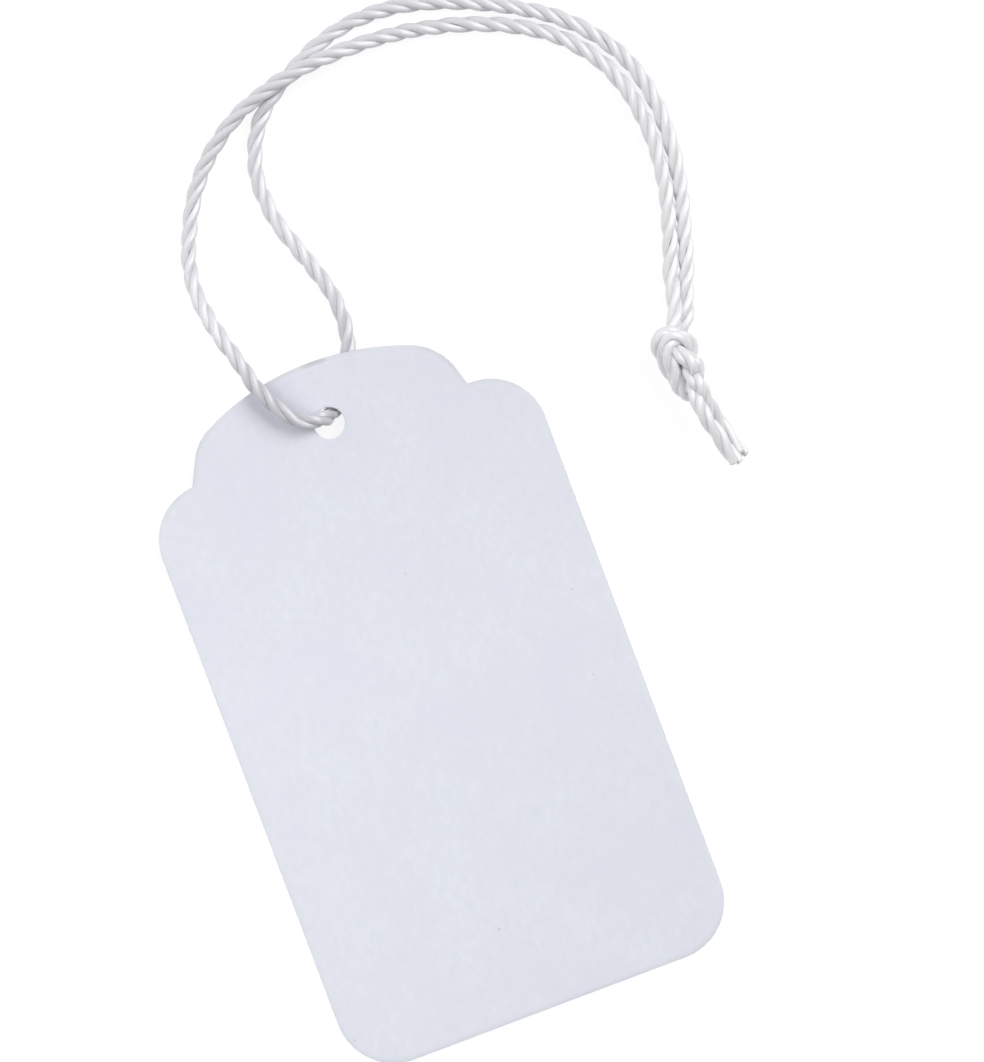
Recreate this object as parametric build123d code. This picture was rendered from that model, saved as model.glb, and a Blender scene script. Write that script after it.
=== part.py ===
from build123d import *
import os
from math import asin, degrees, pi, radians, tan

# Gift tag of white card with a scalloped head, on a loop of twisted cord tied in a knot.
# It lies on a table: the card's panel is flat, and its head rises over the strand beneath it.
# Frame in millimetres: origin on the table under the middle of the card,
# +Z up from the table, +Y along the card towards its hole, +X to the right of the front.

# Card outline
card_width = 41.3
card_length = 69.7
card_thickness = 0.33
foot_corner_radius = 6.0
shoulder_radius = 5.8
head_height = 7.6
head_half_width = 14.9
head_side_lean = 22
crown_radius = 27.2
crown_corner_radius = 5.6

# Hole, and the rise of the card towards it
hole_diameter = 3.175
hole_to_top = 6.4
bend_run = 25.0
rise_at_hole = 1.6

# Cord: as it lies, drawn tight in the knot, and slack again in its tails.
# The pitch is the least spacing of the strands that the knot draws together.
cord_diameter = 1.5
knot_diameter = 1.16
tail_diameter = 1.3
knot_pitch = 1.2
corner_share = 0.45

# One overrun serves all cuts
overrun = 2.0

# Places along the card
top_y = card_length / 2
foot_y = -card_length / 2
shoulder_y = top_y - head_height
hole_y = top_y - hole_to_top
bend_y = hole_y - bend_run
bend_radius = (bend_run**2 + rise_at_hole**2) / (2 * rise_at_hole)

# The cord's route, point by point. The strands start at the hole and end at the knot.
front_strand = [
    (-3.1, 29.9, 3.45), (-5.4, 33.3, 3.85), (-6.35, 37.4, 3.9), (-7.65, 41.75, 3.2),
    (-8.15, 46.6, 2.0), (-6.65, 51.4, 1.2), (-3.8, 56.3, 1.1), (0.95, 60.35, 1.75),
    (6.0, 62.3, 2.45), (11.8, 63.2, 2.45), (18.0, 63.25, 1.25), (24.25, 62.3, 0.77),
    (30.3, 60.3, 0.76), (35.95, 56.8, 0.76), (39.55, 51.8, 0.76), (40.85, 45.3, 0.76),
    (40.35, 39.25, 0.76), (38.75, 33.5, 0.85), (37.6, 30.4, 0.95),
]
bight = [(-0.75, 28.95, 3.2), (0.6, 29.1, 0.76)]
back_strand = [
    (2.5, 31.0, 0.76), (4.75, 34.95, 0.76), (5.2, 39.75, 0.76), (3.7, 44.8, 0.76),
    (1.85, 49.95, 0.76), (1.75, 55.25, 0.76), (4.5, 60.4, 0.76), (9.25, 63.35, 0.76),
    (14.25, 65.5, 0.76), (20.0, 65.9, 0.76), (26.0, 64.3, 0.76), (32.0, 61.6, 0.76),
    (37.55, 57.75, 0.76), (41.5, 52.45, 0.76), (42.85, 45.95, 0.76), (42.3, 39.65, 0.76),
    (40.5, 33.6, 0.76), (39.4, 30.3, 0.77),
]

# Knot: a doubled overhand knot, in pitches about the knot's middle:
# across to the right, along from mouth to tails, and up.
knot_middle = Vector(35.35, 21.6, 2.45)
back_mouth = [(2.6, -5.7, -1.38), (2.2, -4.6, -1.35), (1.5, -3.6, -1.25)]
back_wrap = [
    (0.5, -2.6, -1.3), (-0.1, -1.6, -1.2), (0.0, -0.8, -0.4), (0.8, -0.3, 0.6),
    (1.6, 0.6, 0.4), (1.3, 1.6, -0.5), (0.3, 2.2, -1.3), (-0.7, 2.0, -1.4),
    (-1.2, 1.0, -1.1), (-1.35, -0.4, -0.45), (-1.4, -1.8, 0.3), (-0.8, -2.8, 0.7),
    (0.4, -2.9, 0.4), (1.2, -1.9, -0.7), (0.8, -0.4, -1.6), (0.0, 0.8, -1.2), (-0.2, 1.8, 0.0),
]
back_leave = [(-0.55, 2.8, 0.8)]
back_tail = [(-0.45, 3.9, 0.9), (0.15, 5.1, 0.75), (0.75, 6.5, 0.25), (1.2, 7.9, -0.2), (1.6, 9.7, -0.45)]
front_mouth = [(1.55, -5.8, -1.0), (1.05, -4.8, -0.95), (0.4, -3.8, -0.95), (-0.5, -2.8, -0.8)]
front_wrap = [(across, -along, -up) for across, along, up in reversed(back_wrap)]
front_tail = [(0.75, 3.6, 0.9), (0.95, 4.7, -0.2), (1.1, 6.0, -1.2), (1.45, 7.5, -1.45), (2.1, 9.2, -1.45)]


def in_knot(points):
    # Points about the knot's middle, turned into places on the table
    return [
        knot_middle + Vector(across, -along, up) * knot_pitch
        for across, along, up in points
    ]


def card_outline():
    # Panel with rounded feet and shoulders, and a domed head with leaning sides
    panel_height = card_length - head_height
    panel = Pos(0, foot_y + panel_height / 2) * Rectangle(card_width, panel_height)
    panel = fillet(panel.vertices().group_by(Axis.Y)[0], foot_corner_radius)
    panel = fillet(panel.vertices().group_by(Axis.Y)[-1], shoulder_radius)
    root_y = shoulder_y - shoulder_radius
    crown_half_width = head_half_width - head_height * tan(radians(head_side_lean))
    right_side = [
        (head_half_width, root_y),
        (head_half_width, shoulder_y),
        (crown_half_width, top_y),
    ]
    left_side = [(-x, y) for x, y in reversed(right_side)]
    dome = Pos(0, top_y - crown_radius) * Circle(crown_radius)
    head = Polygon(*right_side, *left_side, align=None) & dome
    head = fillet(head.vertices().sort_by(Axis.Y)[-2:], crown_corner_radius)
    return panel + head


def card_sheet():
    # Side view of the card: flat on the table, then one tangent curve up to the head
    bend_angle = degrees(asin((top_y - bend_y + overrun) / bend_radius))
    bend_centre = (bend_y, bend_radius)
    under_flat = Line((foot_y - overrun, 0), (bend_y, 0))
    under_curve = CenterArc(bend_centre, bend_radius, -90, bend_angle)
    upper_curve = CenterArc(bend_centre, bend_radius - card_thickness, -90, bend_angle)
    upper_flat = Line((foot_y - overrun, card_thickness), (bend_y, card_thickness))
    foot_end = Line(under_flat @ 0, upper_flat @ 0)
    head_end = Line(under_curve @ 1, upper_curve @ 1)
    side = make_face([under_flat, under_curve, head_end, upper_curve, upper_flat, foot_end])
    return extrude(Plane.YZ * side, amount=card_width / 2 + overrun, both=True)


def tag_card():
    # The bent sheet trimmed to the outline, with the string hole punched through
    depth = rise_at_hole + hole_to_top + overrun
    hole = Pos(0, hole_y) * Cylinder(hole_diameter / 2, 2 * depth)
    return card_sheet() & extrude(card_outline(), amount=depth) - hole


def corner_radius(before, corner, after):
    # The largest arc that leaves its neighbours room on the shorter of two runs
    run_in = corner - before
    run_out = after - corner
    half_turn = radians(run_in.get_angle(run_out)) / 2
    return corner_share * min(run_in.length, run_out.length) / tan(half_turn)


def cord_tubes(stretches):
    # One route from tail to tail, cut into stretches at the middle of the runs between them
    route = [point for name, diameter, points in stretches for point in points]
    radii = [corner_radius(*route[i - 1 : i + 2]) for i in range(1, len(route) - 1)]
    tubes = {}
    first = 0
    for name, diameter, points in stretches:
        last = first + len(points) - 1
        low = max(first, 1)
        high = min(last, len(route) - 2)
        start = (route[low - 1] + route[low]) / 2 if first else route[0]
        end = (route[high] + route[high + 1]) / 2 if last < len(route) - 1 else route[-1]
        bends = radii[low - 1 : high]
        path = FilletPolyline(start, *route[low : high + 1], end, radius=bends)
        section = Plane(path @ 0, z_dir=path % 0) * Circle(diameter / 2)
        tubes[name] = sweep(section, path=path)
        plain_volume = pi * diameter**2 / 4 * path.length
        print(
            f"{name}: length {path.length:.1f}, radii {min(bends):.2f} to {max(bends):.1f},",
            f"volume {tubes[name].volume / plain_volume:.4f} of section times length",
        )
        first = last + 1
    return tubes


nodes = {"tag_card": tag_card()}
nodes.update(
    cord_tubes(
        [
            ("cord_front_tail", tail_diameter, in_knot(front_tail[::-1])),
            ("knot_front_turns", knot_diameter, in_knot((front_mouth + front_wrap)[::-1])),
            ("cord_front_strand", cord_diameter, [Vector(p) for p in front_strand[::-1]]),
            ("cord_bight", cord_diameter, [Vector(p) for p in bight]),
            ("cord_back_strand", cord_diameter, [Vector(p) for p in back_strand]),
            ("knot_back_turns", knot_diameter, in_knot(back_mouth + back_wrap + back_leave)),
            ("cord_back_tail", tail_diameter, in_knot(back_tail)),
        ]
    )
)

os.makedirs("parts", exist_ok=True)
for name, solid in nodes.items():
    solid.label = name
    export_step(solid, f"parts/{name}.step")
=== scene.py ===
import bpy
import numpy as np
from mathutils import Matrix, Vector


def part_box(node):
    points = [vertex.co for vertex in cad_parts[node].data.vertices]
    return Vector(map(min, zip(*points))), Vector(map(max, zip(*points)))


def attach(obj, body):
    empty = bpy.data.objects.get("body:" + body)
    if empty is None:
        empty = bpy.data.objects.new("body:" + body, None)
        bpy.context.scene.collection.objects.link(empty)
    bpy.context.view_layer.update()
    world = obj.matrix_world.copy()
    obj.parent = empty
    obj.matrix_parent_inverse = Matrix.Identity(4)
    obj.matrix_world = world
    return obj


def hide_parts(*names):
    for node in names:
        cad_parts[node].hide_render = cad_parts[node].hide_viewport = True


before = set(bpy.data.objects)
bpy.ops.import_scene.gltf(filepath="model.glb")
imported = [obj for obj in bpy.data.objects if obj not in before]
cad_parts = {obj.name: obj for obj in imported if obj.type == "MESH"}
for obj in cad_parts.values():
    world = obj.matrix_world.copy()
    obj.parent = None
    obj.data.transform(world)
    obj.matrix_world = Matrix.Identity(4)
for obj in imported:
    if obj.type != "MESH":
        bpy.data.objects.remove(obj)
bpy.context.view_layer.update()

# Gift tag: a die-cut white card on a loop of three-ply satin cord, lying on a white table.
# Everything is in metres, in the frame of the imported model.

photo = {
    "height": 0.10753,               # length on the table that the picture's height covers
    "middle": (0.01154, 0.01243),    # place under the middle of the picture
    "roll": -20.66,                  # degrees
    "lens": 300.0,                   # mm
    "sensor": 36.0,                  # mm
    "clip": (0.01, 20.0),            # nearest and farthest distance that is drawn
}


def addCamera():
    # looks straight down from as far as the long lens needs
    camera = bpy.data.cameras.new("photoCamera")
    camera.lens = photo["lens"]
    camera.sensor_width = photo["sensor"]
    camera.clip_start, camera.clip_end = photo["clip"]
    holder = bpy.data.objects.new("photoCamera", camera)
    holder.location = (*photo["middle"], photo["height"] * photo["lens"] / photo["sensor"])
    holder.rotation_euler = (0, 0, np.radians(photo["roll"]))
    bpy.context.collection.objects.link(holder)
    bpy.context.scene.camera = holder


addCamera()
print("camera: straight down, rolled with the photograph")

# Helpers for all pieces

wave = {
    "octaves": 4,
    "spacing": (0.7, 1.1),       # least and most that an octave's rate adds, in first rates
    "peak": 1.6,                 # usual height of the sum
}


def smoothWave(places, size, length, seed):
    # seeded sum of sines with random rates and phases, about -size to size, the longest of length
    rng = np.random.default_rng(seed)
    total = np.zeros_like(places)
    for octave in range(wave["octaves"]):
        rate = 2 * np.pi / length * (1 + octave * rng.uniform(*wave["spacing"]))
        total += np.sin(places * rate + rng.uniform(0, 2 * np.pi)) / (1 + octave)
    return size * (total / wave["peak"])


def readLine(wanted, places, points):
    # a line of points read at the wanted places along it, straight between its own
    return np.stack([np.interp(wanted, places, column) for column in points.T], axis=1)


def unit(vectors):
    # the same directions with a length of 1
    return vectors / np.linalg.norm(vectors, axis=-1, keepdims=True)


def meshObject(name, verts, faces, uvs=None):
    # smooth mesh at the origin, with a UV for each corner of its faces if they are given
    mesh = bpy.data.meshes.new(name)
    mesh.from_pydata(verts.reshape(-1, 3).tolist(), [], faces)
    if uvs is not None:
        layer = mesh.uv_layers.new(name="UVMap")
        layer.data.foreach_set("uv", np.asarray(uvs, dtype=np.float32).ravel())
    mesh.polygons.foreach_set("use_smooth", np.ones(len(mesh.polygons), dtype=bool))
    mesh.update()
    obj = bpy.data.objects.new(name, mesh)
    bpy.context.collection.objects.link(obj)
    return obj


def triangleCount(piece):
    # a face with n corners is n - 2 triangles
    return len(piece.data.loops) - 2 * len(piece.data.polygons)


# Cord route: the points of the solids, some of them moved to follow the photograph.
# Both strands run from the hole to the knot, and the bight joins them.

cordRoute = {
    "frontStrand": (
        (-0.0030, 0.0295, 0.0033), (-0.0054, 0.0333, 0.00385), (-0.00635, 0.0374, 0.0039),
        (-0.00765, 0.04175, 0.0032), (-0.00815, 0.0466, 0.0020), (-0.00665, 0.0514, 0.0012),
        (-0.0038, 0.0563, 0.0011), (0.00095, 0.06035, 0.00175), (0.0060, 0.0623, 0.00245),
        (0.0118, 0.0632, 0.00245), (0.0180, 0.06325, 0.00125), (0.02425, 0.0623, 0.00077),
        (0.0303, 0.0603, 0.00076), (0.03595, 0.0568, 0.00076), (0.03955, 0.0518, 0.00076),
        (0.0409, 0.0453, 0.00095), (0.0404, 0.03925, 0.001), (0.0388, 0.0335, 0.001),
        (0.0376, 0.0304, 0.00095),
    ),
    "bight": ((-0.00047, 0.02897, 0.00285), (0.0005, 0.02915, 0.0007)),
    "backStrand": (
        (0.0025, 0.0310, 0.00073), (0.00475, 0.03495, 0.00076), (0.0052, 0.03975, 0.00076),
        (0.0037, 0.0448, 0.00076), (0.00185, 0.04995, 0.00076), (0.00175, 0.05525, 0.00076),
        (0.0045, 0.0604, 0.00076), (0.00925, 0.06335, 0.00076), (0.01425, 0.0655, 0.00076),
        (0.0200, 0.0659, 0.00076), (0.0260, 0.0643, 0.00076), (0.0320, 0.0616, 0.00076),
        (0.03755, 0.05775, 0.00076), (0.0414, 0.05245, 0.00076), (0.04262, 0.04595, 0.00076),
        (0.04208, 0.03965, 0.00076), (0.0404, 0.0336, 0.00076), (0.0394, 0.0303, 0.00077),
    ),
}

# Knot: a doubled overhand knot, in pitches about its middle: across, along to the tails, up
knot = {
    "middle": (0.03535, 0.0216, 0.00245),
    "pitch": 0.0012,
    "lean": 0.3,                 # how far the upper turns lie to the right of the lower ones
    "squeeze": 0.22,             # share by which the turns are pressed together
    "tilt": 0.18,                # how far the turns move to the right along the knot
    "upright": 1.5,              # how far the turns on the right stay out of that
    "reach": 2.2,                # pitches from the middle where this holds, fading over as many more
    "backMouth": ((2.6, -5.7, -1.38), (2.3, -4.6, -1.35), (2.0, -3.3, -1.1)),
    "backWrap": (
        (0.95, -2.4, -1.3), (0.0, -1.6, -1.2), (0.0, -0.8, -0.4), (0.8, -0.3, 0.6),
        (1.6, 0.6, 0.4), (1.3, 1.6, -0.5), (0.3, 2.2, -1.3), (-0.7, 2.0, -1.4),
        (-1.2, 1.0, -1.1), (-1.15, -0.4, -0.7), (-1.4, -1.8, 0.3), (-0.8, -2.8, 0.7),
        (0.35, -2.5, 0.5), (1.15, -1.5, -0.6), (0.8, -0.4, -1.6), (0.0, 0.8, -1.2),
        (-0.2, 1.8, 0.0),
    ),
    "backLeave": ((-0.35, 2.8, 0.8),),
    "backTail": (
        (-0.1, 3.8, 1.0), (0.3, 5.1, 0.85), (0.75, 6.6, 0.35), (1.1, 8.0, -0.1), (1.45, 9.7, -0.4),
    ),
    "frontMouth": (
        (1.55, -5.8, -1.0), (1.3, -4.8, -0.9), (1.0, -3.8, -0.7), (0.6, -2.9, -0.4),
    ),
    "frontTail": (
        (0.9, 3.6, 0.45), (1.1, 4.7, -0.4), (1.35, 6.0, -1.15), (1.75, 7.5, -1.4), (2.25, 9.3, -1.4),
    ),
}

cord = {
    "strandDiameter": 0.00162,
    "holeDiameter": 0.00166,
    "knotDiameter": 0.00166,
    "tailDiameter": 0.0016,
    "plies": 3,
    "lay": 0.0071,               # length of one full turn of the plies
    "tailLayShare": 2.2,         # the plies open towards the cut ends
    "tailReach": 0.007,          # length over which they open
    "plyShare": 0.56,            # radius of a ply, of the cord's radius
    "plyHalfAngle": 59.0,        # degrees of the cord's round that one ply covers, each way
    "coreShare": 0.10,           # radius that the plies leave open along the axis
    "outerPoints": 15,           # points across a ply's outside
    "sidePoints": 3,             # points along each of its hidden sides
    "step": 0.00016,             # spacing of the rings along the cord
    "sizeBlend": 15,             # rings over which the diameter changes, an odd number
    "resolution": 24,            # points that are read from the spline for each of its own
    "layDrift": (0.30, 0.031),   # radians that the twist wanders, and the length of that wave
    "plyDrift": (0.05, 0.017),   # share by which a ply swells and thins, and its wave
    "plyWander": (0.10, 0.009),  # radians by which a ply leaves its even third, and its wave
    "seeds": (3, 11, 21),        # of these three waves, the last two counted up by ply
    "clearance": 0.000005,       # the underside is pressed flat on the table
    "endRound": 0.00012,         # rounding of the cut ends
    "endFlat": 0.45,             # share of the section that stays flat there
    "endTrim": (0.0, 0.0005, 0.00022),   # how far each ply is cut back at a tail's tip
    "paintedShadeFront": (0.008, 0.020),         # lengths from the fold where the painted shade starts to fade and ends
    "paintedShadeBack": (0.004, 0.030),
    "loopShade": 0.60,             # painted shade at the top of the loop
    "loopShadeReach": 0.095,       # length from the fold over which it rises and falls
}


def inKnot(points):
    # pitches to metres: across leans with the height, both are squeezed, and across is shifted
    # in proportion to the way along, the less the further right
    across, along, up = np.array(points).T
    inside = np.clip(2 - np.abs(along) / knot["reach"], 0, 1)
    tight = 1 - knot["squeeze"] * inside
    shift = knot["tilt"] * along * inside * (1 - knot["upright"] * np.clip(across, 0, 1))
    across = (across + knot["lean"] * up * inside) * tight + shift
    return np.array(knot["middle"]) + np.c_[across, -along, up * tight] * knot["pitch"]


def wholeRoute():
    # one route with the diameter at each of its points
    frontWrap = [(across, -along, -up) for across, along, up in reversed(knot["backWrap"])]
    frontKnot = [*knot["frontMouth"], *frontWrap]
    backKnot = [*knot["backMouth"], *knot["backWrap"], *knot["backLeave"]]
    stretches = (
        (inKnot(knot["frontTail"])[::-1], cord["tailDiameter"]),
        (inKnot(frontKnot)[::-1], cord["knotDiameter"]),
        (np.array(cordRoute["frontStrand"])[::-1], cord["strandDiameter"]),
        (np.array(cordRoute["bight"]), cord["holeDiameter"]),
        (np.array(cordRoute["backStrand"]), cord["strandDiameter"]),
        (inKnot(backKnot), cord["knotDiameter"]),
        (inKnot(knot["backTail"]), cord["tailDiameter"]),
    )
    points = np.concatenate([part for part, size in stretches])
    sizes = np.concatenate([np.full(len(part), size) for part, size in stretches])
    return points, sizes


def readSpline(points):
    # the route's NURBS spline, read back as the points of its own fine line
    curve = bpy.data.curves.new("cordLine", "CURVE")
    curve.dimensions = "3D"
    curve.resolution_u = cord["resolution"]
    spline = curve.splines.new("NURBS")
    spline.points.add(len(points) - 1)
    spline.points.foreach_set("co", np.c_[points, np.ones(len(points))].ravel())
    spline.order_u = 3
    spline.use_endpoint_u = True
    holder = bpy.data.objects.new("cordLine", curve)
    line = bpy.data.meshes.new_from_object(holder)
    coords = np.empty(len(line.vertices) * 3)
    line.vertices.foreach_get("co", coords)
    bpy.data.objects.remove(holder)
    bpy.data.curves.remove(curve)
    bpy.data.meshes.remove(line)
    return coords.reshape(-1, 3)


def evenLine(points, sizes):
    # the spline at even steps of its length, and the diameter there: a point's own at the middle
    # of its span, straight in between, and rounded by a moving mean
    fine = readSpline(points)
    reached = np.r_[0, np.cumsum(np.linalg.norm(np.diff(fine, axis=0), axis=1))]
    spans = len(points) - 2
    places = np.clip(np.arange(len(points)) - 0.5, 0, spans) / spans * (len(fine) - 1)
    sizePlaces = np.interp(places, np.arange(len(fine)), reached)
    along = np.linspace(0, reached[-1], int(reached[-1] / cord["step"]) + 1)
    diameter = np.interp(along, sizePlaces, sizes)
    window = np.hanning(cord["sizeBlend"])
    padded = np.pad(diameter, cord["sizeBlend"] // 2, mode="edge")
    diameter = np.convolve(padded, window / window.sum(), mode="valid")
    return readLine(along, reached, fine), along, diameter


def steadyFrame(line):
    # side and lift across the line, turned back by the twist that a fixed upward view adds,
    # which is the running sum of the angles left over by the least turn from step to step
    tangent = unit(np.gradient(line, axis=0))
    side = unit(np.cross(tangent, (0.0, 0.0, 1.0)))
    lift = np.cross(side, tangent)
    turn = np.cross(tangent[:-1], tangent[1:])
    cosine = np.sum(tangent[:-1] * tangent[1:], axis=1, keepdims=True)
    lean = np.sum(turn * side[:-1], axis=1, keepdims=True)
    carried = side[:-1] * cosine + np.cross(turn, side[:-1]) + turn * lean / (1 + cosine)
    step = np.arctan2(np.sum(carried * lift[1:], axis=1), np.sum(carried * side[1:], axis=1))
    spin = np.r_[0, np.cumsum(step)][:, None]
    return side * np.cos(spin) + lift * np.sin(spin), lift * np.cos(spin) - side * np.sin(spin)


def plyProfile():
    # one ply's section as angle and radius in the cord's round: its outside is a circle beside
    # the axis, and two straight sides towards the axis lie packed against its neighbours
    half = np.radians(cord["plyHalfAngle"])
    angle = half * np.sin(np.linspace(-np.pi / 2, np.pi / 2, cord["outerPoints"]))
    middle = 1 - cord["plyShare"]
    radius = middle * np.cos(angle) + np.sqrt(cord["plyShare"] ** 2 - (middle * np.sin(angle)) ** 2)
    inward = np.linspace(radius[0], cord["coreShare"], cord["sidePoints"] + 1)[1:]
    flank = np.full(cord["sidePoints"], half)
    return (
        np.concatenate([angle, flank, -flank[::-1]]),
        np.concatenate([radius, inward, inward[::-1]]),
    )


def cordGeometry():
    # plies carried along the line: each ring is the ply's section, turned with the lay
    line, along, diameter = evenLine(*wholeRoute())
    side, lift = steadyFrame(line)
    toEnd = np.minimum(along, along[-1] - along)
    opening = np.clip(1 - toEnd / cord["tailReach"], 0, 1) ** 2
    lay = cord["lay"] * (1 + (cord["tailLayShare"] - 1) * opening)
    twist = np.cumsum(np.gradient(along) * 2 * np.pi / lay)
    twistSeed, swellSeed, wanderSeed = cord["seeds"]
    twist += smoothWave(along, *cord["layDrift"], twistSeed)
    angle, radius = plyProfile()
    ends = np.clip(toEnd / cord["endRound"], 0, 1)
    rounding = cord["endFlat"] + (1 - cord["endFlat"]) * np.sqrt(1 - (1 - ends) ** 2)
    plies = []
    for ply in range(cord["plies"]):
        swell = 1 + smoothWave(along, *cord["plyDrift"], swellSeed + ply)
        trim = cord["endTrim"][ply] * opening * np.sign(along - along[-1] / 2)
        centre = readLine(along - trim, along, line)
        wander = smoothWave(along, *cord["plyWander"], wanderSeed + ply)
        third = 2 * np.pi * ply / cord["plies"]
        around = angle[None, :] + third + (wander - twist)[:, None]
        reach = radius[None, :] * (diameter / 2 * swell * rounding)[:, None]
        plies.append(
            centre[:, None, :]
            + (reach * np.cos(around))[:, :, None] * side[:, None, :]
            + (reach * np.sin(around))[:, :, None] * lift[:, None, :]
        )
    rings = np.stack(plies, axis=1)
    rings[..., 2] = np.maximum(rings[..., 2], cord["clearance"])
    return line, along, rings


def cordHalf(name, rings, along):
    # rings x plies x section as one closed mesh, with the section as u and the length as v
    steps, plies, around = rings.shape[:3]
    ids = np.arange(steps * plies * around).reshape(steps, plies, around)
    low = ids[:-1]
    high = ids[1:]
    quads = np.stack([low, np.roll(low, -1, 2), np.roll(high, -1, 2), high], axis=-1)
    caps = [*ids[0, :, ::-1].tolist(), *ids[-1].tolist()]
    u = np.arange(around + 1) / around
    v = along / cord["lay"]
    shape = (steps - 1, plies, around)
    uLow = np.broadcast_to(u[:-1], shape)
    uHigh = np.broadcast_to(u[1:], shape)
    vLow = np.broadcast_to(v[:-1, None, None], shape)
    vHigh = np.broadcast_to(v[1:, None, None], shape)
    uvQuads = np.stack([uLow, vLow, uHigh, vLow, uHigh, vHigh, uLow, vHigh], axis=-1)
    uvCaps = np.zeros(len(caps) * around * 2)
    faces = [*quads.reshape(-1, 4).tolist(), *caps]
    return meshObject(name, rings, faces, np.r_[uvQuads.ravel(), uvCaps])


def addPaintedShade(piece, distance, fade, perRing):
    # painted shade: 1 where the cord goes into the hole, falling in a straight line, and half a sine
    # round the loop
    holeShade = np.clip((fade[1] - distance) / (fade[1] - fade[0]), 0, 1)
    loopShare = np.clip(distance / cord["loopShadeReach"], 0, 1)
    cordPaintedShade = np.maximum(holeShade, cord["loopShade"] * np.sin(np.pi * loopShare))
    layer = piece.data.attributes.new("cordPaintedShade", "FLOAT", "POINT")
    layer.data.foreach_set("value", np.repeat(cordPaintedShade, perRing).astype(np.float32))


def addCord():
    # two pieces that meet in the middle of the fold, each as far as its own tail's tip
    line, along, rings = cordGeometry()
    foldMiddle = np.mean(cordRoute["bight"], axis=0)
    split = int(np.argmin(np.linalg.norm(line - foldMiddle, axis=1)))
    front = cordHalf("cord_front", rings[: split + 1], along[: split + 1])
    back = cordHalf("cord_back", rings[split:], along[split:])
    perRing = rings.shape[1] * rings.shape[2]
    # painted shade along each half, counted from the fold
    addPaintedShade(front, along[split] - along[: split + 1], cord["paintedShadeFront"], perRing)
    addPaintedShade(back, along[split:] - along[split], cord["paintedShadeBack"], perRing)
    for piece, stretch, nodes in (
        (front, line[split::-1], ("cord_front_strand", "knot_front_turns", "cord_front_tail")),
        (back, line[split:], ("cord_back_strand", "knot_back_turns", "cord_back_tail")),
    ):
        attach(piece, "cord")
        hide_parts(*nodes)
    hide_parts("cord_bight")
    return front, back


cordPieces = addCord()

# Card: the solid's outline and bend, with the head's uneven halves and the edges that a die leaves

cardLow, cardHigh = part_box("tag_card")

card = {
    "thickness": 0.00033,
    "footRadius": 0.0060,
    "shoulderRadius": 0.0058,
    "headHeight": 0.00762,
    "right": {"headHalfWidth": 0.01447, "lean": 16.4, "corner": 0.0058, "crown": 0.0288},
    "left": {"headHalfWidth": 0.01527, "lean": 27.0, "corner": 0.0052, "crown": 0.0259},
    "holeRadius": 0.0015875,
    "holeToTop": 0.0064,
    "bendRun": 0.025,
    "riseAtHole": 0.0016,
    "rollWidth": 0.00055,        # band along the cut that the die has pressed down
    "rollDepth": 0.00008,
    "rollPlaces": (0.7, 0.45, 0.25, 0.12, 0.05, 0.015),  # distances from the cut, of the band's width
    "rollCorner": (0.0, 0.0, 0.0, 0.0, 0.02, 0.06),      # drop of the corner there, of the thickness
    "backPlaces": (0.02, 0.3),   # distances from the cut on the back
    "wallHeights": (0.80, 0.08, 8),      # first, last and number of the heights on the cut wall
    "wallRough": 0.000006,       # unevenness of the cut wall
    "wallDepth": 2.0,            # how far in it lies, in such unevennesses
    "wallSeed": 5,
    "rimWidth": 0.0005,          # band round the hole
    "rimPlaces": (0.02, 0.10, 0.24, 0.5),                # distances from the hole, of the band's width
    "rimDrop": (0.10, 0.03, 0.0, 0.0),                   # drop of the rim there, of the thickness
    "rimBackPlaces": (0.3, 0.02),
    "holeHeights": (0.05, 0.85, 6),      # as on the cut wall
    "edgeShadeLevel": 0.36,            # how dark the painted shade along the head's outline is
    "edgeShadeWave": (0.14, 0.014, 31),       # by how much that changes along it, wave length and seed
    "headFade": 0.006,           # length below the shoulders over which the painted shade fades
    "crownShade": (0.0007, 0.0015),         # middle and half length of the darkest stretch of painted shade, on the crown
    "acrossSteps": 30,           # steps from the hole to the outline
    "drawStep": 0.00005,         # spacing of the points that draw the outline
    "notchRound": 0.0004,        # length over which the die's edge rounds a sharp notch
    "outlineStep": 0.0005,       # spacing of the mesh along the outline
    "turnStep": 8.0,             # degrees of turn that count as much as one such step
    "evenShare": 0.3,            # share of the even spacing in the spacing round the hole
    "relaxRounds": 320,
}


def arc(centre, radius, start, end):
    # points of an arc from one angle to the other, without the last
    count = int(np.ceil(radius * np.radians(abs(end - start)) / card["drawStep"]))
    angles = np.radians(np.linspace(start, end, count + 1)[:-1])
    return np.array(centre) + radius * np.c_[np.cos(angles), np.sin(angles)]


def straight(start, end):
    # points of a straight stretch, without the last
    run = np.array(end) - np.array(start)
    count = int(np.ceil(np.linalg.norm(run) / card["drawStep"]))
    return np.array(start) + run * (np.arange(count) / count)[:, None]


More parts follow.
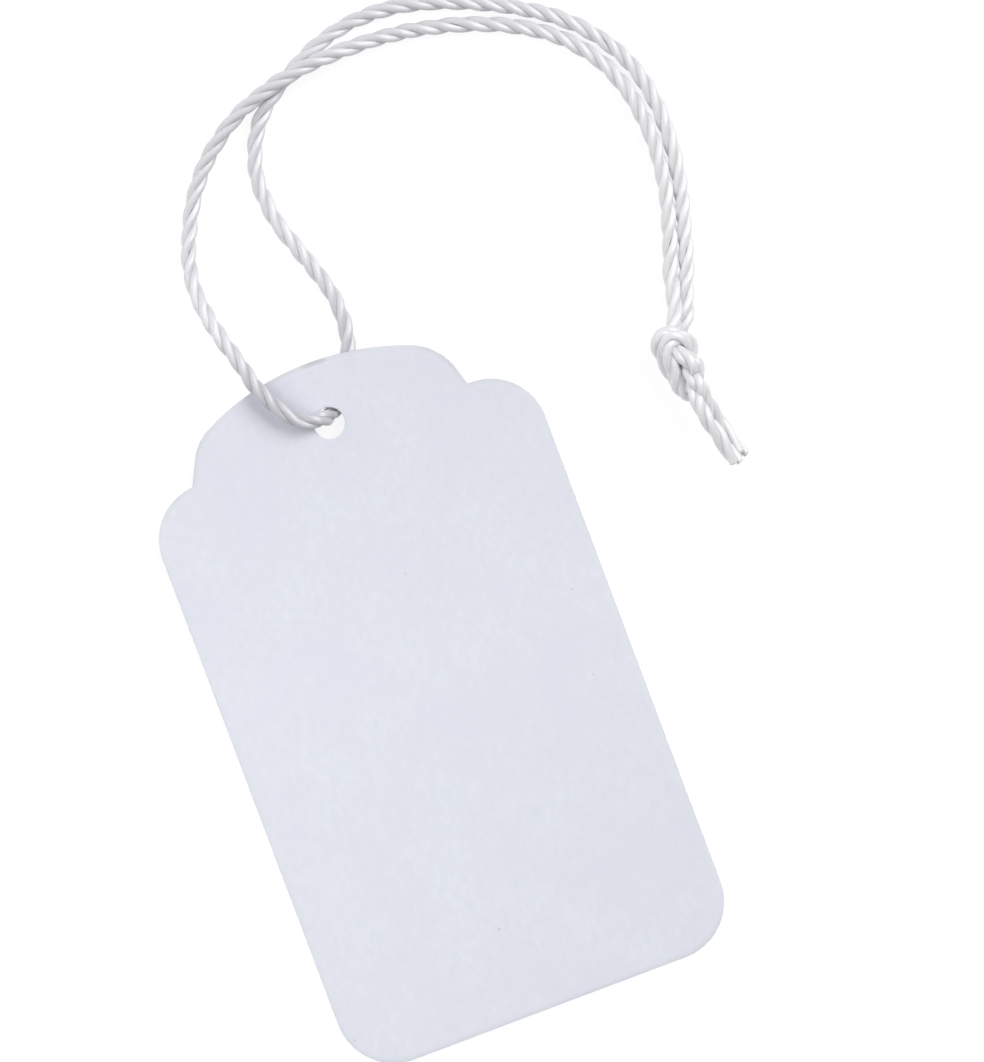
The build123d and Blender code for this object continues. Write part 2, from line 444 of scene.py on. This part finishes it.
def halfOutline(head):
    # from the crown's middle to the foot's, on the right
    halfWidth, top, foot = cardHigh.x, cardHigh.y, cardLow.y
    shoulder, footRadius, corner = card["shoulderRadius"], card["footRadius"], head["corner"]
    shoulderY = top - card["headHeight"]
    lean = np.radians(head["lean"])
    notch = np.array((head["headHalfWidth"], shoulderY))
    rise = np.array((-np.sin(lean), np.cos(lean)))
    inward = np.array((-np.cos(lean), -np.sin(lean)))
    crownCentre = np.array((0.0, top - head["crown"]))
    # centre of the crown's corner: one radius inside the side and inside the crown's circle
    start = notch + inward * corner - crownCentre
    half = start @ rise
    climb = np.sqrt(half**2 - start @ start + (head["crown"] - corner) ** 2) - half
    cornerCentre = crownCentre + start + rise * climb
    meet = np.degrees(np.arctan2(*(cornerCentre - crownCentre)[::-1]))
    # the shoulder's arc starts under the notch, which lies on it if the head is wide
    shoulderCentre = np.array((halfWidth - shoulder, shoulderY - shoulder))
    past = max(notch[0] - shoulderCentre[0], 0) / shoulder
    shoulderStart = shoulderCentre + shoulder * np.array((past, np.sqrt(1 - past**2)))
    notch[1] = shoulderStart[1]
    stretches = [
        arc(crownCentre, head["crown"], 90, meet),
        arc(cornerCentre, corner, meet, head["lean"]),
        straight(cornerCentre - inward * corner, notch),
        straight(notch, shoulderStart),
        arc(shoulderCentre, shoulder, 90 - np.degrees(np.arcsin(past)), 0),
        straight((halfWidth, shoulderCentre[1]), (halfWidth, foot + footRadius)),
        arc((halfWidth - footRadius, foot + footRadius), footRadius, 0, -90),
        straight((halfWidth - footRadius, foot), (0, foot)),
    ]
    return np.concatenate(stretches)


def drawnOutline():
    # clockwise: the right half, the foot's middle, and the left half as a mirror image
    right = halfOutline(card["right"])
    left = halfOutline(card["left"]) * (-1, 1)
    return np.concatenate([right, [(0.0, cardLow.y)], left[:0:-1]])


def cardOutline():
    # the drawn outline with its notches rounded, at points spread by length and by turn
    drawn = drawnOutline()
    reach = int(card["notchRound"] / card["drawStep"] / 2)
    window = np.hanning(2 * reach + 3)[1:-1]
    padded = np.concatenate([drawn[-reach:], drawn, drawn[:reach]])
    window /= window.sum()
    line = np.stack([np.convolve(column, window, mode="valid") for column in padded.T], axis=1)
    run = np.roll(line, -1, 0) - line
    heading = np.arctan2(run[:, 1], run[:, 0])
    turn = np.abs((np.roll(heading, -1) - heading + np.pi) % (2 * np.pi) - np.pi)
    steps = np.linalg.norm(run, axis=1) / card["outlineStep"] + np.degrees(turn) / card["turnStep"]
    place = np.r_[0, np.cumsum(steps)]
    closed = np.concatenate([line, line[:1]])
    wanted = np.linspace(0, place[-1], int(place[-1]), endpoint=False)
    return readLine(wanted, place, closed)


def cardHeights(y):
    # underside and top of the sheet: flat, then two concentric arcs up to the head
    holeY = cardHigh.y - card["holeToTop"]
    run, rise = card["bendRun"], card["riseAtHole"]
    radius = (run**2 + rise**2) / (2 * rise)
    past = np.clip(y - (holeY - run), 0, None)
    under = radius - np.sqrt(radius**2 - past**2)
    over = radius - np.sqrt((radius - card["thickness"]) ** 2 - past**2)
    return under, over


def cardSection():
    # one closed loop through the sheet, from the hole's rim over the top to the outline and back
    # below: share of the way between the two rims' bands, distance from a rim, height through
    across = np.linspace(0, 1, card["acrossSteps"] + 1)
    roll = card["rollWidth"]
    rim = card["rimWidth"]
    inset = roll * np.array(card["rollPlaces"])
    pressed = card["rollDepth"] / card["thickness"] * (1 - inset / roll) ** 2
    stretches = (
        (0, rim * np.array(card["rimPlaces"]) - rim, 1 - np.array(card["rimDrop"])),  # front rim
        (across, 0, 1),                                                               # front
        (1, roll - inset, 1 - pressed - np.array(card["rollCorner"])),                # pressed band
        (1, roll, np.linspace(*card["wallHeights"])),                                 # cut wall
        (1, roll - roll * np.array(card["backPlaces"]), 0),                           # back edge
        (across[::-1], 0, 0),                                                         # back
        (0, rim * np.array(card["rimBackPlaces"]) - rim, 0),                          # back rim
        (0, -rim, np.linspace(*card["holeHeights"])),                                 # hole's wall
    )
    return np.concatenate([np.stack(np.broadcast_arrays(*values)) for values in stretches], axis=1)


def inwardNormals(outline):
    # the run from each point's one neighbour to the other, turned a quarter to the right
    run = np.roll(outline, -1, 0) - np.roll(outline, 1, 0)
    return unit(np.c_[run[:, 1], -run[:, 0]])


def holeDirections(outline, hole):
    # towards the outline's points, with their angles blended with even ones so that none turns back
    reach = outline - hole
    angle = np.unwrap(np.arctan2(reach[:, 1], reach[:, 0]))
    even = angle[0] - 2 * np.pi * np.arange(len(angle)) / len(angle)
    angle += (even - angle) * card["evenShare"]
    return np.c_[np.cos(angle), np.sin(angle)]


def relaxedGrid(inner, outer):
    # straight ways between two loops, relaxed over a fixed number of rounds to lay the grid without
    # folds:
    # each point goes to the mean of its four neighbours, those across weighted by the squared spacing
    # along and the reverse, less the share by which the two directions are not square to each other
    share = np.linspace(0, 1, card["acrossSteps"] + 1)[None, :, None]
    grid = inner[:, None, :] * (1 - share) + outer[:, None, :] * share
    for step in range(card["relaxRounds"]):
        ahead = np.roll(grid, -1, 0)
        behind = np.roll(grid, 1, 0)
        along = (ahead - behind)[:, 1:-1] / 2
        across = (grid[:, 2:] - grid[:, :-2]) / 2
        acrossSquare = np.sum(across**2, axis=2, keepdims=True)
        alongSquare = np.sum(along**2, axis=2, keepdims=True)
        skew = np.sum(across * along, axis=2, keepdims=True)
        corners = (ahead - behind)[:, 2:] - (ahead - behind)[:, :-2]
        total = acrossSquare * (ahead + behind)[:, 1:-1] + alongSquare * (grid[:, 2:] + grid[:, :-2])
        grid[:, 1:-1] = (total - skew * corners / 2) / (2 * (acrossSquare + alongSquare))
    return grid


def cardGeometry():
    # the sheet between the hole's rim and the outline, with the section carried round both
    outline = cardOutline()
    inward = inwardNormals(outline)
    hole = np.array((0.0, cardHigh.y - card["holeToTop"]))
    away = holeDirections(outline, hole)
    inner = hole + away * (card["holeRadius"] + card["rimWidth"])
    outer = outline + inward * card["rollWidth"]
    share, offset, height = cardSection()
    station = np.round(share * card["acrossSteps"]).astype(int)
    atOutline = offset > 0
    onWall = offset == card["rollWidth"]
    rng = np.random.default_rng(card["wallSeed"])
    rough = rng.normal(-card["wallDepth"], 1, (len(outline), len(share))) * card["wallRough"] * onWall
    reach = (offset[None, :] + rough)[:, :, None]
    outwards = np.where(atOutline[None, :, None], -inward[:, None, :], away[:, None, :])
    plan = relaxedGrid(inner, outer)[:, station] + outwards * reach
    under, over = cardHeights(plan[:, :, 1])
    z = under + (over - under) * height
    return np.concatenate([plan, z[:, :, None]], axis=2)


def paintedEdgeShade(rings):
    # painted shade along the head's cut outline: a seeded wave along it that falls to 0 across the
    # pressed band and below the shoulders, and 1 on the crown's darkest stretch
    offset = cardSection()[1]
    band = np.clip(offset / card["rollWidth"], 0, 1)
    places = np.arange(len(rings))[:, None] * card["outlineStep"]
    uneven = np.clip(card["edgeShadeLevel"] + smoothWave(places, *card["edgeShadeWave"]), 0, 1)
    crownShadeX, crownShadeReach = card["crownShade"]
    crownShade = np.exp(-(((rings[..., 0] - crownShadeX) / crownShadeReach) ** 4))
    shoulderY = cardHigh.y - card["headHeight"]
    onHead = np.clip((rings[..., 1] - shoulderY) / card["headFade"] + 1, 0, 1)
    return np.maximum(band * uneven, np.sqrt(band) * crownShade) * onHead


def addCard():
    # the section's loops joined round the outline, as one closed mesh
    rings = cardGeometry()
    count, section = rings.shape[:2]
    ids = np.arange(count * section).reshape(count, section)
    ahead = np.roll(ids, -1, 0)
    quads = np.stack([ids, np.roll(ids, -1, 1), np.roll(ahead, -1, 1), ahead], axis=-1)
    piece = meshObject("card", rings, quads.reshape(-1, 4).tolist())
    # painted shade along the head's outline, one value for each point
    edge = piece.data.attributes.new("edge", "FLOAT", "POINT")
    edge.data.foreach_set("value", paintedEdgeShade(rings).ravel().astype(np.float32))
    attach(piece, "card")
    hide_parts("tag_card")
    print("card: triangles", triangleCount(piece))
    return piece


cardPiece = addCard()

# Helpers for materials

streak = {
    "broad": {"Scale": 1.0, "Detail": 4.0, "Roughness": 0.6},
    "fine": {"Detail": 2.0, "Roughness": 0.7},
}


def newMaterial(name):
    material = bpy.data.materials.new(name)
    material.use_nodes = True
    tree = material.node_tree
    return material, tree, tree.nodes["Principled BSDF"]


def addNode(tree, kind, **values):
    # a node with its sockets and settings by name
    node = tree.nodes.new(kind)
    for name, value in values.items():
        if name in node.inputs:
            node.inputs[name].default_value = value
        else:
            setattr(node, name, value)
    return node


def mapRange(tree, value, start, end):
    # a straight line from the start's range to the end's, and level past it
    node = addNode(tree, "ShaderNodeMapRange")
    for name, number in zip(("From Min", "From Max", "To Min", "To Max"), (*start, *end)):
        node.inputs[name].default_value = number
    tree.links.new(value, node.inputs["Value"])
    return node.outputs["Result"]


def layColour(tree, share, under, over):
    # one colour over another, which is a fixed colour or the layer before: a Mix node's share is
    # its input 0, the two colours are inputs 6 and 7, and the mixed colour is output 2
    node = addNode(tree, "ShaderNodeMix", data_type="RGBA")
    tree.links.new(share, node.inputs[0])
    if isinstance(under, tuple):
        node.inputs[6].default_value = under
    else:
        tree.links.new(under, node.inputs[6])
    node.inputs[7].default_value = over
    return node.outputs[2]


def fibreGroup():
    # streaks drawn out along the second coordinate: a mask for colour and a height for bump
    group = bpy.data.node_groups.new("fibreStreaks", "ShaderNodeTree")
    face = group.interface
    face.new_socket("Vector", in_out="INPUT", socket_type="NodeSocketVector")
    face.new_socket("Fine", in_out="INPUT", socket_type="NodeSocketFloat")
    face.new_socket("Mask", in_out="OUTPUT", socket_type="NodeSocketFloat")
    face.new_socket("Height", in_out="OUTPUT", socket_type="NodeSocketFloat")
    source = group.nodes.new("NodeGroupInput")
    result = group.nodes.new("NodeGroupOutput")
    broad = addNode(group, "ShaderNodeTexNoise", **streak["broad"])
    fine = addNode(group, "ShaderNodeTexNoise", **streak["fine"])
    link = group.links.new
    link(source.outputs["Vector"], broad.inputs["Vector"])
    link(source.outputs["Vector"], fine.inputs["Vector"])
    link(source.outputs["Fine"], fine.inputs["Scale"])
    link(broad.outputs["Fac"], result.inputs["Mask"])
    link(fine.outputs["Fac"], result.inputs["Height"])
    return group


fibres = fibreGroup()


def addFibres(tree, shader, coords, finish):
    # streaks that set the bump, and whose mask sets the roughness and is handed on for the colour
    link = tree.links.new
    turn = (0, 0, finish["fibreTurn"])
    stretch = addNode(tree, "ShaderNodeMapping", Scale=finish["fibreScale"], Rotation=turn)
    streaks = addNode(tree, "ShaderNodeGroup", node_tree=fibres, Fine=finish["fineScale"])
    bump = addNode(tree, "ShaderNodeBump", **finish["bump"])
    mask = streaks.outputs["Mask"]
    link(coords, stretch.inputs["Vector"])
    link(stretch.outputs["Vector"], streaks.inputs["Vector"])
    link(streaks.outputs["Height"], bump.inputs["Height"])
    link(bump.outputs["Normal"], shader.inputs["Normal"])
    link(mapRange(tree, mask, (0, 1), finish["roughness"]), shader.inputs["Roughness"])
    return mask


def setShader(shader, values):
    # what is the same all over the surface
    for name, value in values.items():
        shader.inputs[name].default_value = value


paper = {
    "colour": (0.816, 0.840, 0.909, 1.0),
    "fibreColour": (0.694, 0.718, 0.787, 1.0),
    "cloudColour": (0.735, 0.748, 0.835, 1.0),
    "speckColour": (0.60, 0.61, 0.66, 1.0),
    # grey of the painted shade along the head's outline
    "edgeShadeColour": (0.51, 0.515, 0.535, 1.0),
    "roughness": (0.72, 0.52),   # between the fibres and on them
    "fibreScale": (1700.0, 900.0, 1700.0),
    "fibreTurn": 0.0,            # radians
    "fineScale": 7.0,            # of the bump, to the streaks
    "bump": {"Strength": 0.10, "Distance": 0.00002},
    "clouds": {"Scale": 110.0, "Detail": 5.0, "Roughness": 0.6},
    "cloudRange": (0.40, 0.75),  # of the noise, from clear to clouded
    "specks": {"Scale": 200.0, "Randomness": 1.0},
    "speckRange": (0.016, 0.036),        # distances from a speck's middle, in cells
    "speckCover": (0.90, 0.0),   # how strong it is there
    "shader": {"Specular IOR Level": 0.3},
}


def paperMaterial():
    # fibres, then clouds, specks and the painted shade along the head's outline over them
    material, tree, shader = newMaterial("whiteCard")
    link = tree.links.new
    coords = tree.nodes.new("ShaderNodeTexCoord").outputs["Object"]
    mask = addFibres(tree, shader, coords, paper)
    clouds = addNode(tree, "ShaderNodeTexNoise", **paper["clouds"])
    specks = addNode(tree, "ShaderNodeTexVoronoi", **paper["specks"])
    edge = addNode(tree, "ShaderNodeAttribute", attribute_name="edge")
    link(coords, clouds.inputs["Vector"])
    link(coords, specks.inputs["Vector"])
    clouded = mapRange(tree, clouds.outputs["Fac"], paper["cloudRange"], (0, 1))
    spotted = mapRange(tree, specks.outputs["Distance"], paper["speckRange"], paper["speckCover"])
    colour = layColour(tree, mask, paper["fibreColour"], paper["colour"])
    colour = layColour(tree, clouded, colour, paper["cloudColour"])
    colour = layColour(tree, spotted, colour, paper["speckColour"])
    # painted shade along the head's outline over the rest
    colour = layColour(tree, edge.outputs["Fac"], colour, paper["edgeShadeColour"])
    link(colour, shader.inputs["Base Color"])
    setShader(shader, paper["shader"])
    return material


satin = {
    "colour": (0.935, 0.935, 0.95, 1.0),
    "shade": (0.845, 0.842, 0.885, 1.0),
    # grey of the painted shade over the card and at the top of the loop
    "paintedShadeColour": (0.60, 0.595, 0.64, 1.0),
    "roughness": (0.56, 0.36),   # between the filaments and on them
    "fibreScale": (26.0, 2.2, 1.0),
    "fibreTurn": 0.05,           # radians
    "fineScale": 2.4,            # of the bump, to the streaks
    "bump": {"Strength": 0.3, "Distance": 0.000003},
    "shader": {
        "Anisotropic": 0.85,
        "IOR": 1.85,
        "Specular IOR Level": 1.0,
        "Subsurface Weight": 0.6,
        "Subsurface Radius": (1.0, 1.0, 1.0),
        "Subsurface Scale": 0.0006,      # how far light spreads among the filaments
        "Sheen Weight": 0.25,
        "Sheen Roughness": 0.4,
    },
}


def satinMaterial():
    # filaments along each ply, greyed by painted shade over the card and at the top of the loop, with
    # a sheen drawn out across them
    material, tree, shader = newMaterial("satinCord")
    link = tree.links.new
    coords = tree.nodes.new("ShaderNodeTexCoord").outputs["UV"]
    mask = addFibres(tree, shader, coords, satin)
    # painted shade from the mesh, which greys the colour
    cordPaintedShade = addNode(tree, "ShaderNodeAttribute", attribute_name="cordPaintedShade")
    across = addNode(tree, "ShaderNodeTangent", direction_type="UV_MAP", uv_map="UVMap")
    colour = layColour(tree, mask, satin["shade"], satin["colour"])
    colour = layColour(tree, cordPaintedShade.outputs["Fac"], colour, satin["paintedShadeColour"])
    link(colour, shader.inputs["Base Color"])
    link(across.outputs["Tangent"], shader.inputs["Tangent"])
    setShader(shader, satin["shader"])
    return material


cardPiece.data.materials.append(paperMaterial())
cordSkin = satinMaterial()
for piece in cordPieces:
    piece.data.materials.append(cordSkin)
print("materials: white card and satin cord")

# Table and light

studio = {
    "worldStrength": 0.26,
    "worldColour": (1.0, 1.0, 1.0, 1.0),
    "backdropStrength": 1.0,     # of the world as the camera sees it
    "floorSize": 8.0,
    "floorDrop": 0.00001,        # keeps the table's face clear of the card's back
    "floorGlow": 0.88,
    "floorColour": (0.16, 0.16, 0.16, 1.0),
    "bounceColour": (0.8, 0.8, 0.8, 1.0),        # of the table as the object is lit by it
    "lamps": {                   # place, size in metres, power in watts, seen in reflections
        "rightLamp": ((1.66, 0.6, 1.75), 1.5, 40.0, True),
        "leftLamp": ((-0.24, 0.14, 0.25), 0.34, 0.90, False),
    },
}


def addLamp(name, place, size, power, glossy):
    # square lamp that faces the middle of the picture
    lamp = bpy.data.lights.new(name, "AREA")
    lamp.energy = power
    lamp.size = size
    holder = bpy.data.objects.new(name, lamp)
    holder.location = place
    holder.visible_camera = False
    holder.visible_glossy = glossy
    target = Vector((*photo["middle"], 0))
    holder.rotation_euler = (target - holder.location).to_track_quat("-Z", "Y").to_euler()
    bpy.context.collection.objects.link(holder)


def seenRays(tree, other):
    # 1 for the camera's own rays and for one other kind, 0 for the rest
    rays = tree.nodes.new("ShaderNodeLightPath")
    seen = addNode(tree, "ShaderNodeMath", operation="MAXIMUM")
    tree.links.new(rays.outputs["Is Camera Ray"], seen.inputs[0])
    tree.links.new(rays.outputs[other], seen.inputs[1])
    return seen.outputs[0]


def addStudio():
    # a dim world that the camera sees as white, and the lamps
    world = bpy.data.worlds.new("studio")
    world.use_nodes = True
    tree = world.node_tree
    background = tree.nodes["Background"]
    background.inputs["Color"].default_value = studio["worldColour"]
    seen = seenRays(tree, "Is Transmission Ray")
    level = mapRange(tree, seen, (0, 1), (studio["worldStrength"], studio["backdropStrength"]))
    tree.links.new(level, background.inputs["Strength"])
    bpy.context.scene.world = world
    for name, values in studio["lamps"].items():
        addLamp(name, *values)


def addFloor():
    # a table that glows white to the camera and in reflections, where it still takes the shadow
    half = studio["floorSize"] / 2
    corners = np.array(((-half, -half), (half, -half), (half, half), (-half, half)))
    verts = np.c_[corners, np.full(len(corners), -studio["floorDrop"])]
    floor = meshObject("table", verts, [(0, 1, 2, 3)])
    material, tree, shader = newMaterial("whiteTable")
    link = tree.links.new
    glow = addNode(tree, "ShaderNodeEmission", Strength=studio["floorGlow"])
    plain = addNode(tree, "ShaderNodeBsdfDiffuse", Color=studio["floorColour"])
    bounce = addNode(tree, "ShaderNodeBsdfDiffuse", Color=studio["bounceColour"])
    lit = tree.nodes.new("ShaderNodeAddShader")
    pick = tree.nodes.new("ShaderNodeMixShader")
    link(seenRays(tree, "Is Glossy Ray"), pick.inputs[0])
    link(glow.outputs[0], lit.inputs[0])
    link(plain.outputs[0], lit.inputs[1])
    link(bounce.outputs[0], pick.inputs[1])
    link(lit.outputs[0], pick.inputs[2])
    link(pick.outputs[0], tree.nodes["Material Output"].inputs["Surface"])
    tree.nodes.remove(shader)
    floor.data.materials.append(material)


addStudio()
addFloor()
bpy.context.scene.view_settings.view_transform = "Standard"
print("studio: white table, soft light")
